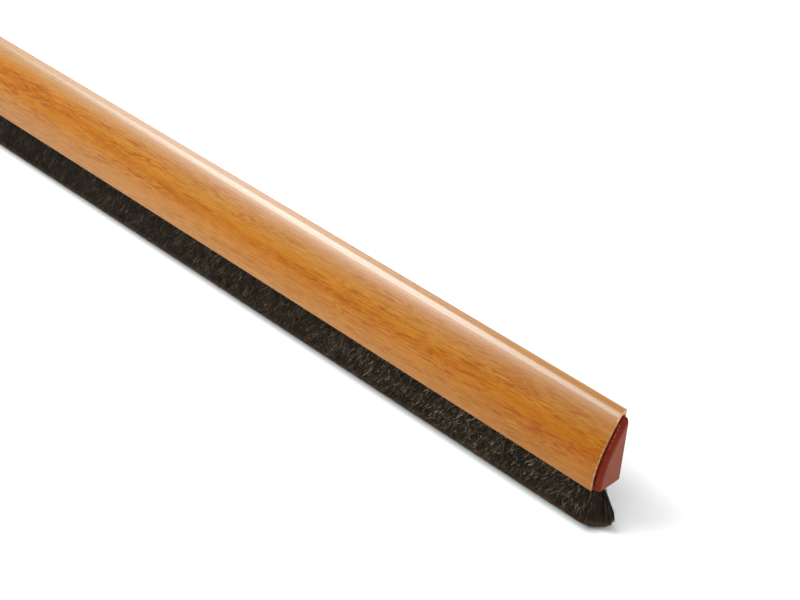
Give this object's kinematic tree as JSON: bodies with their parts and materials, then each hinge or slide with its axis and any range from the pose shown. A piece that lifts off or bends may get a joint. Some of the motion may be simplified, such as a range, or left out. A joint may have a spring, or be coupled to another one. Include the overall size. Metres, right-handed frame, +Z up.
{
  "type": "door draught strip",
  "caption": "Straight draught strip for the foot of a door: wood-effect cover over a slotted rail, dark hair brush below, moulded end caps.",
  "frame": {"origin": "mid-length of the strip, on the door-side face of the rail, on the centreline of the fixing slots", "axes": "+X along the strip, +Y out of the rail's back towards the door, +Z up; the brush points to -Z"},
  "size_m": [1.0088, 0.018, 0.0609],
  "materials": {
    "wood_effect_cover": "satin wood-effect foil over an extruded plastic section",
    "rail_plastic": "extruded, matt, red-brown",
    "channel_steel": "bright zinc-plated sheet",
    "wire_steel": "drawn bright wire",
    "brush_hair": "natural dark hair, brown at the tips",
    "cap_plastic": "moulded, semi-gloss, mahogany red"
  },
  "bodies": {
    "root": {"cover_profile": "wood_effect_cover", "mounting_rail": "rail_plastic", "brush_channel": "channel_steel", "core_wire": "wire_steel", "bristles": "brush_hair", "end_cap_right": "cap_plastic", "end_cap_left": "cap_plastic"}
  },
  "joints": []
}
